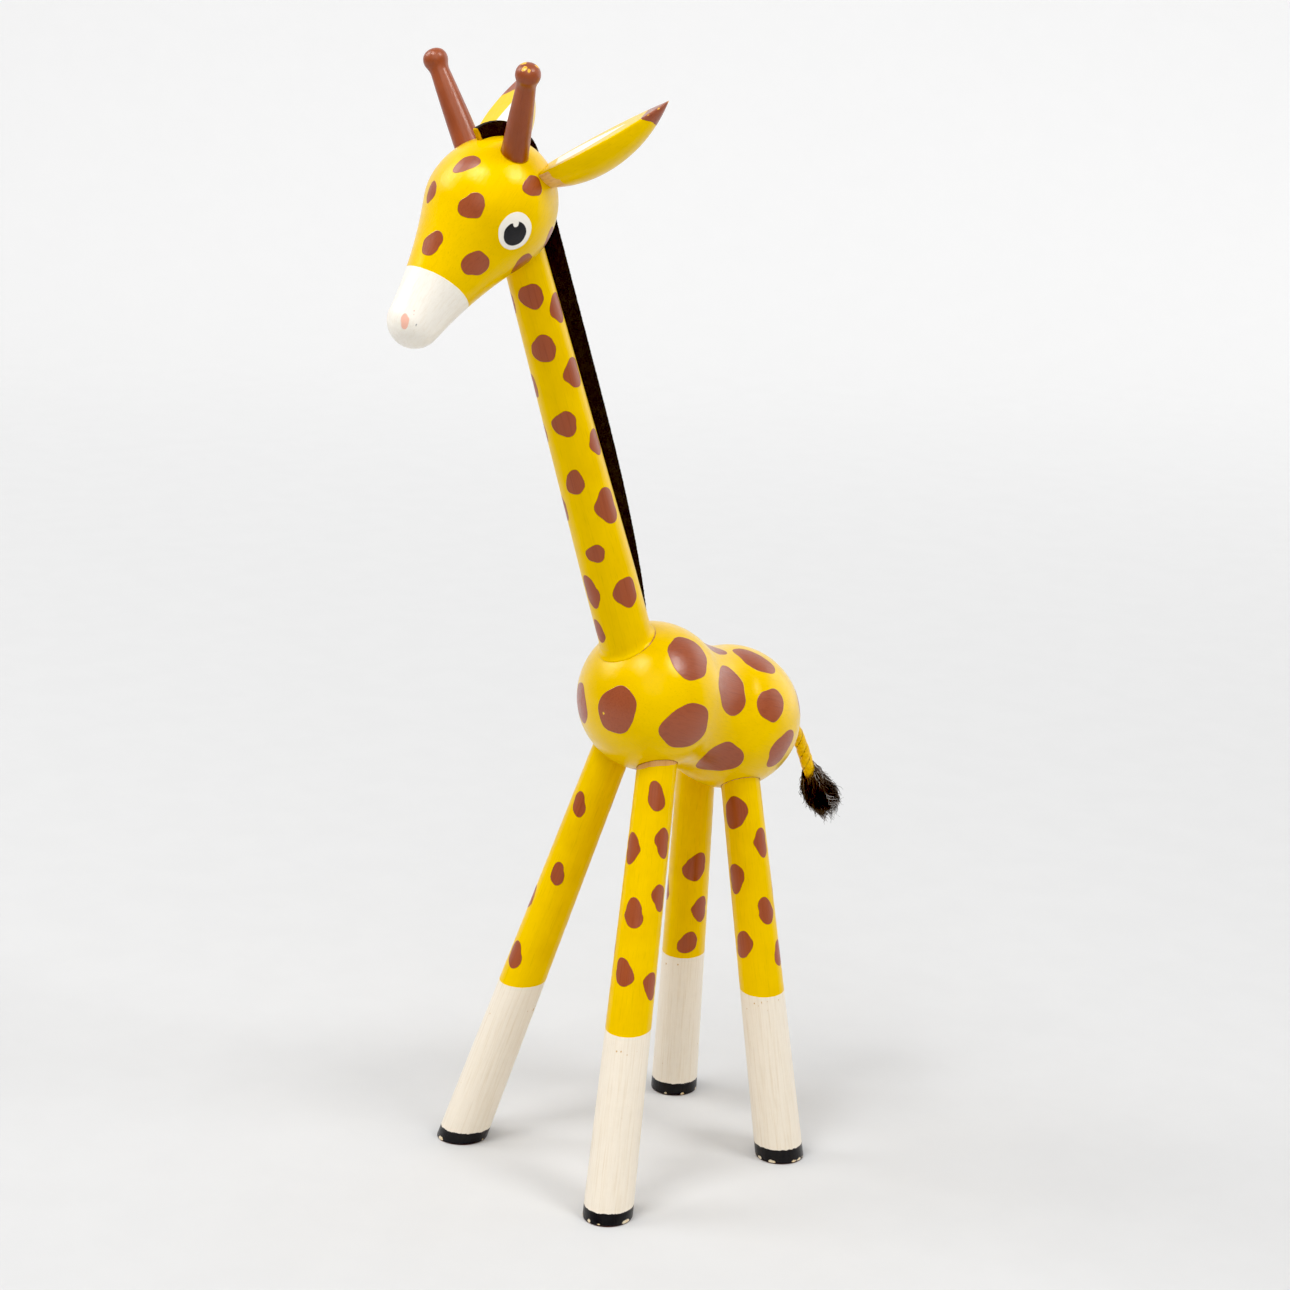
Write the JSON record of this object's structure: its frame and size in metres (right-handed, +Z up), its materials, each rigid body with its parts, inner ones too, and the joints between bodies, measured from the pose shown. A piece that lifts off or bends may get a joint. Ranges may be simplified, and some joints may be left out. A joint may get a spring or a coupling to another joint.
{
  "type": "carved giraffe statue",
  "caption": "Painted turned-wood giraffe standing on four splayed peg legs, with a round-headed muzzle, knobbed horns, half-spindle ears, a felt mane and a tufted cord tail",
  "frame": {"origin": "On the floor, at the middle of the feet-to-torso footprint: the centre of the bounding box's bottom face, the tail left out", "axes": "+Z up; -Y the way the giraffe looks; +X its left side"},
  "size_m": [0.0932, 0.18, 0.3619],
  "materials": {
    "yellow_paint": "glossy paint over turned wood",
    "brown_paint": "glossy paint over turned wood",
    "black_felt": "matte felt",
    "painted_cord": "cord stiffened with paint",
    "dark_fur": "soft fur"
  },
  "bodies": {
    "root": {"torso": "yellow_paint", "neck": "yellow_paint", "head": "yellow_paint", "horn_left": "brown_paint", "horn_right": "brown_paint", "ear_left": "yellow_paint", "ear_right": "yellow_paint", "leg_front_left": "yellow_paint", "leg_front_right": "yellow_paint", "leg_rear_left": "yellow_paint", "leg_rear_right": "yellow_paint", "mane": "black_felt", "tail_cord": "painted_cord", "tail_tuft": "dark_fur"}
  },
  "joints": []
}
